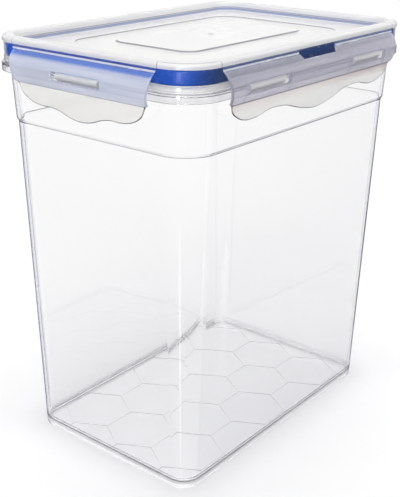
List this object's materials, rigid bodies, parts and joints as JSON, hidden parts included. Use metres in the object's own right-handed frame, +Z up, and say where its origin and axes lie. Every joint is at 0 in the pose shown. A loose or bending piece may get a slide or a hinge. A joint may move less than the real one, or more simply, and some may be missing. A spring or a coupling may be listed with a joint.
{
  "type": "food storage container",
  "caption": "Tall clear rectangular food storage box with a frosted clip-down lid, a blue silicone seal and hinged side latches.",
  "frame": {"origin": "middle of the footprint, on the surface that the box stands on", "axes": "+Z up, +X along the long side, -Y towards the long side named front"},
  "size_m": [0.2514, 0.1774, 0.2792],
  "materials": {
    "clear_plastic": "clear glossy moulded plastic",
    "frosted_plastic": "translucent satin moulded plastic",
    "blue_silicone": "smooth satin silicone"
  },
  "bodies": {
    "box": {"container": "clear_plastic"},
    "lid": {"lid": "frosted_plastic", "seal": "blue_silicone"},
    "front_fold": {"front_fold_strip": "frosted_plastic"},
    "front_latch": {"front_latch": "frosted_plastic"},
    "back_fold": {"back_fold_strip": "frosted_plastic"},
    "back_latch": {"back_latch": "frosted_plastic"},
    "left_fold": {"left_fold_strip": "frosted_plastic"},
    "left_latch": {"left_latch": "frosted_plastic"},
    "right_fold": {"right_fold_strip": "frosted_plastic"},
    "right_latch": {"right_latch": "frosted_plastic"}
  },
  "joints": [
    {"name": "lid_lift", "type": "slide", "parent": "box", "child": "lid", "axis": [0, 0, 1], "range_m": [0, 0.014]},
    {"name": "front_strip_fold", "type": "hinge", "parent": "lid", "child": "front_fold", "pos_m": [0, -0.0829, 0.27525], "axis": [-1, 0, 0], "range_deg": [0, 70]},
    {"name": "front_latch_swing", "type": "hinge", "parent": "front_fold", "child": "front_latch", "pos_m": [0, -0.08325, 0.27338], "axis": [-1, 0, 0], "range_deg": [0, 85]},
    {"name": "back_strip_fold", "type": "hinge", "parent": "lid", "child": "back_fold", "pos_m": [0, 0.0829, 0.27525], "axis": [1, 0, 0], "range_deg": [0, 70]},
    {"name": "back_latch_swing", "type": "hinge", "parent": "back_fold", "child": "back_latch", "pos_m": [0, 0.08325, 0.27338], "axis": [1, 0, 0], "range_deg": [0, 85]},
    {"name": "left_strip_fold", "type": "hinge", "parent": "lid", "child": "left_fold", "pos_m": [-0.1199, 0, 0.27525], "axis": [0, 1, 0], "range_deg": [0, 70]},
    {"name": "left_latch_swing", "type": "hinge", "parent": "left_fold", "child": "left_latch", "pos_m": [-0.12025, 0, 0.27338], "axis": [0, 1, 0], "range_deg": [0, 85]},
    {"name": "right_strip_fold", "type": "hinge", "parent": "lid", "child": "right_fold", "pos_m": [0.1199, 0, 0.27525], "axis": [0, -1, 0], "range_deg": [0, 70]},
    {"name": "right_latch_swing", "type": "hinge", "parent": "right_fold", "child": "right_latch", "pos_m": [0.12025, 0, 0.27338], "axis": [0, -1, 0], "range_deg": [0, 85]}
  ],
  "couplings": [
    {"joint": "front_strip_fold", "follows": "lid_lift", "rad_per_m": 87.2},
    {"joint": "back_strip_fold", "follows": "lid_lift", "rad_per_m": 87.2},
    {"joint": "left_strip_fold", "follows": "lid_lift", "rad_per_m": 87.2},
    {"joint": "right_strip_fold", "follows": "lid_lift", "rad_per_m": 87.2}
  ]
}
